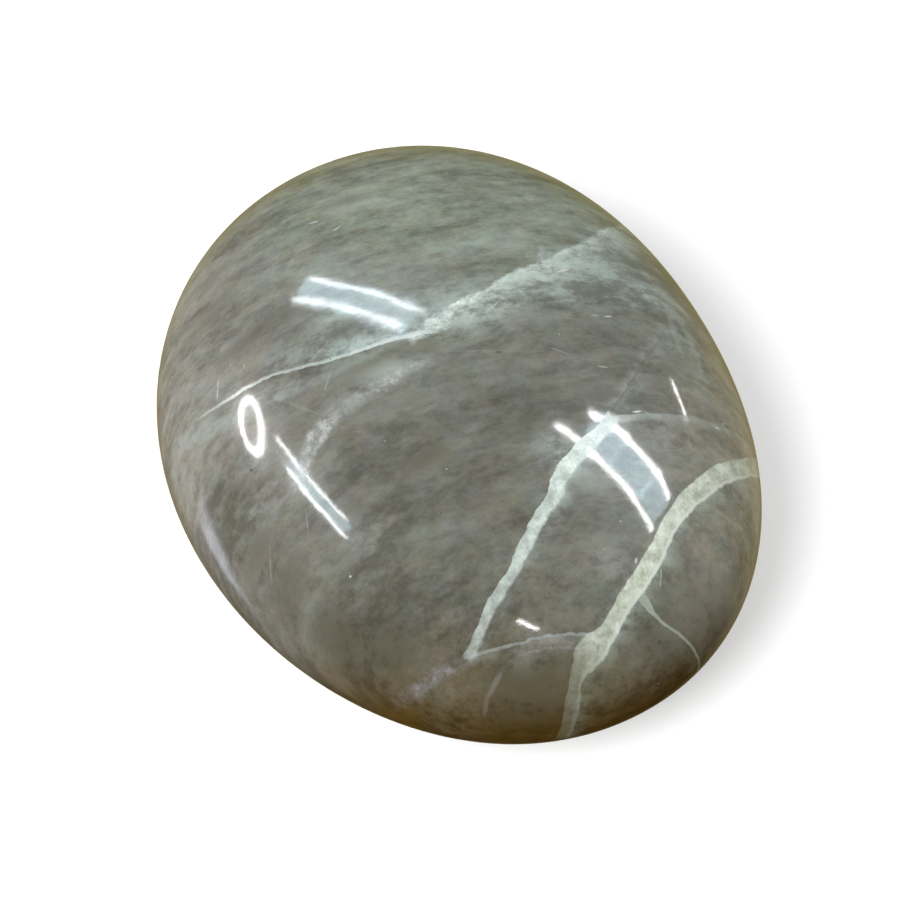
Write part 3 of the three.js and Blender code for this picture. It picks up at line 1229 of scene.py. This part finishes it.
class StoneSettings(bpy.types.PropertyGroup):
    """The colour and the finish of the stone."""
    colour: bpy.props.FloatVectorProperty(
        name="Stone", description="The stone's own colour in the middle, between its veins",
        subtype="COLOR", size=3, default=MIDDLE_COLOUR, min=0, max=1,
    )
    polish: bpy.props.FloatProperty(
        name="Blur", description="How blurred the reflections on the polish are",
        default=0.07, min=0, max=1, subtype="FACTOR",
    )
    haze: bpy.props.FloatProperty(
        name="Haze", description="How strong the soft glow round a reflection is",
        default=0.42, min=0, max=1, subtype="FACTOR",
    )
    vein_depth: bpy.props.FloatProperty(
        name="Vein depth", description="How far the veins are worn below the polish",
        default=0.006 * MM, min=0, max=MM, precision=6, subtype="DISTANCE", unit="LENGTH",
    )
    ripple_height: bpy.props.FloatProperty(
        name="Ripple", description="Height of the faint waves in the polish",
        default=0.012 * MM, min=0, max=MM, precision=6, subtype="DISTANCE", unit="LENGTH",
    )


class StageSettings(bpy.types.PropertyGroup):
    """The floor and the lights."""
    floor_colour: bpy.props.FloatVectorProperty(
        name="Floor", description="Colour of the floor",
        subtype="COLOR", size=3, default=(0.77, 0.77, 0.77), min=0, max=1,
    )
    floor_glow: bpy.props.FloatProperty(
        name="Floor glow", description="Light from under the floor", default=0.33, min=0,
    )
    key_strength: bpy.props.FloatProperty(
        name="Key light", description="Brightness of the key light", default=2.7, min=0,
    )
    key_softness: bpy.props.FloatProperty(
        name="Key softness", description="How wide the key light looks from the stone",
        default=math.radians(30), min=0, max=math.pi, subtype="ANGLE", unit="ROTATION",
    )
    lamp_brightness: bpy.props.FloatProperty(
        name="Lamps", description="Brightness of the lamps that the polish reflects",
        default=40.0, min=0,
    )


class PEBBLE_OT_stone(bpy.types.Operator):
    """Builds the polished stone on the frame's form"""
    bl_idname = "pebble.stone"
    bl_label = "Build the stone"

    def execute(self, context):
        build_pebble(context.scene.stone_settings)
        return {"FINISHED"}


class PEBBLE_OT_stage(bpy.types.Operator):
    """Sets out the floor, the lights and the camera"""
    bl_idname = "pebble.stage"
    bl_label = "Set the stage"

    def execute(self, context):
        settings = context.scene.stage_settings
        add_floor(settings)
        add_world()
        add_key(settings)
        add_lamps(settings)
        add_ring(settings)
        add_camera()
        context.scene.view_settings.view_transform = "Standard"
        return {"FINISHED"}


class PEBBLE_PT_panel(bpy.types.Panel):
    """The pebble's panel in the 3D view's sidebar"""
    bl_idname = "PEBBLE_PT_panel"
    bl_label = "Garnierite pebble"
    bl_space_type = "VIEW_3D"
    bl_region_type = "UI"
    bl_category = "Pebble"

    def draw(self, context):
        layout = self.layout
        for group in (context.scene.stone_settings, context.scene.stage_settings):
            for name in type(group).__annotations__:
                layout.prop(group, name)
        for operator in OPERATORS:
            layout.operator(operator.bl_idname)


OPERATORS = (PEBBLE_OT_stone, PEBBLE_OT_stage)
CLASSES = (StoneSettings, StageSettings, *OPERATORS, PEBBLE_PT_panel)


def register():
    """Adds the classes and the scene's settings to Blender."""
    for cls in CLASSES:
        bpy.utils.register_class(cls)
    bpy.types.Scene.stone_settings = bpy.props.PointerProperty(type=StoneSettings)
    bpy.types.Scene.stage_settings = bpy.props.PointerProperty(type=StageSettings)


def unregister():
    """Takes them out again."""
    del bpy.types.Scene.stage_settings
    del bpy.types.Scene.stone_settings
    for cls in reversed(CLASSES):
        bpy.utils.unregister_class(cls)


def main():
    """Builds the stone and its stage."""
    register()
    bpy.ops.pebble.stone()
    bpy.ops.pebble.stage()


if __name__ == "__main__":
    main()
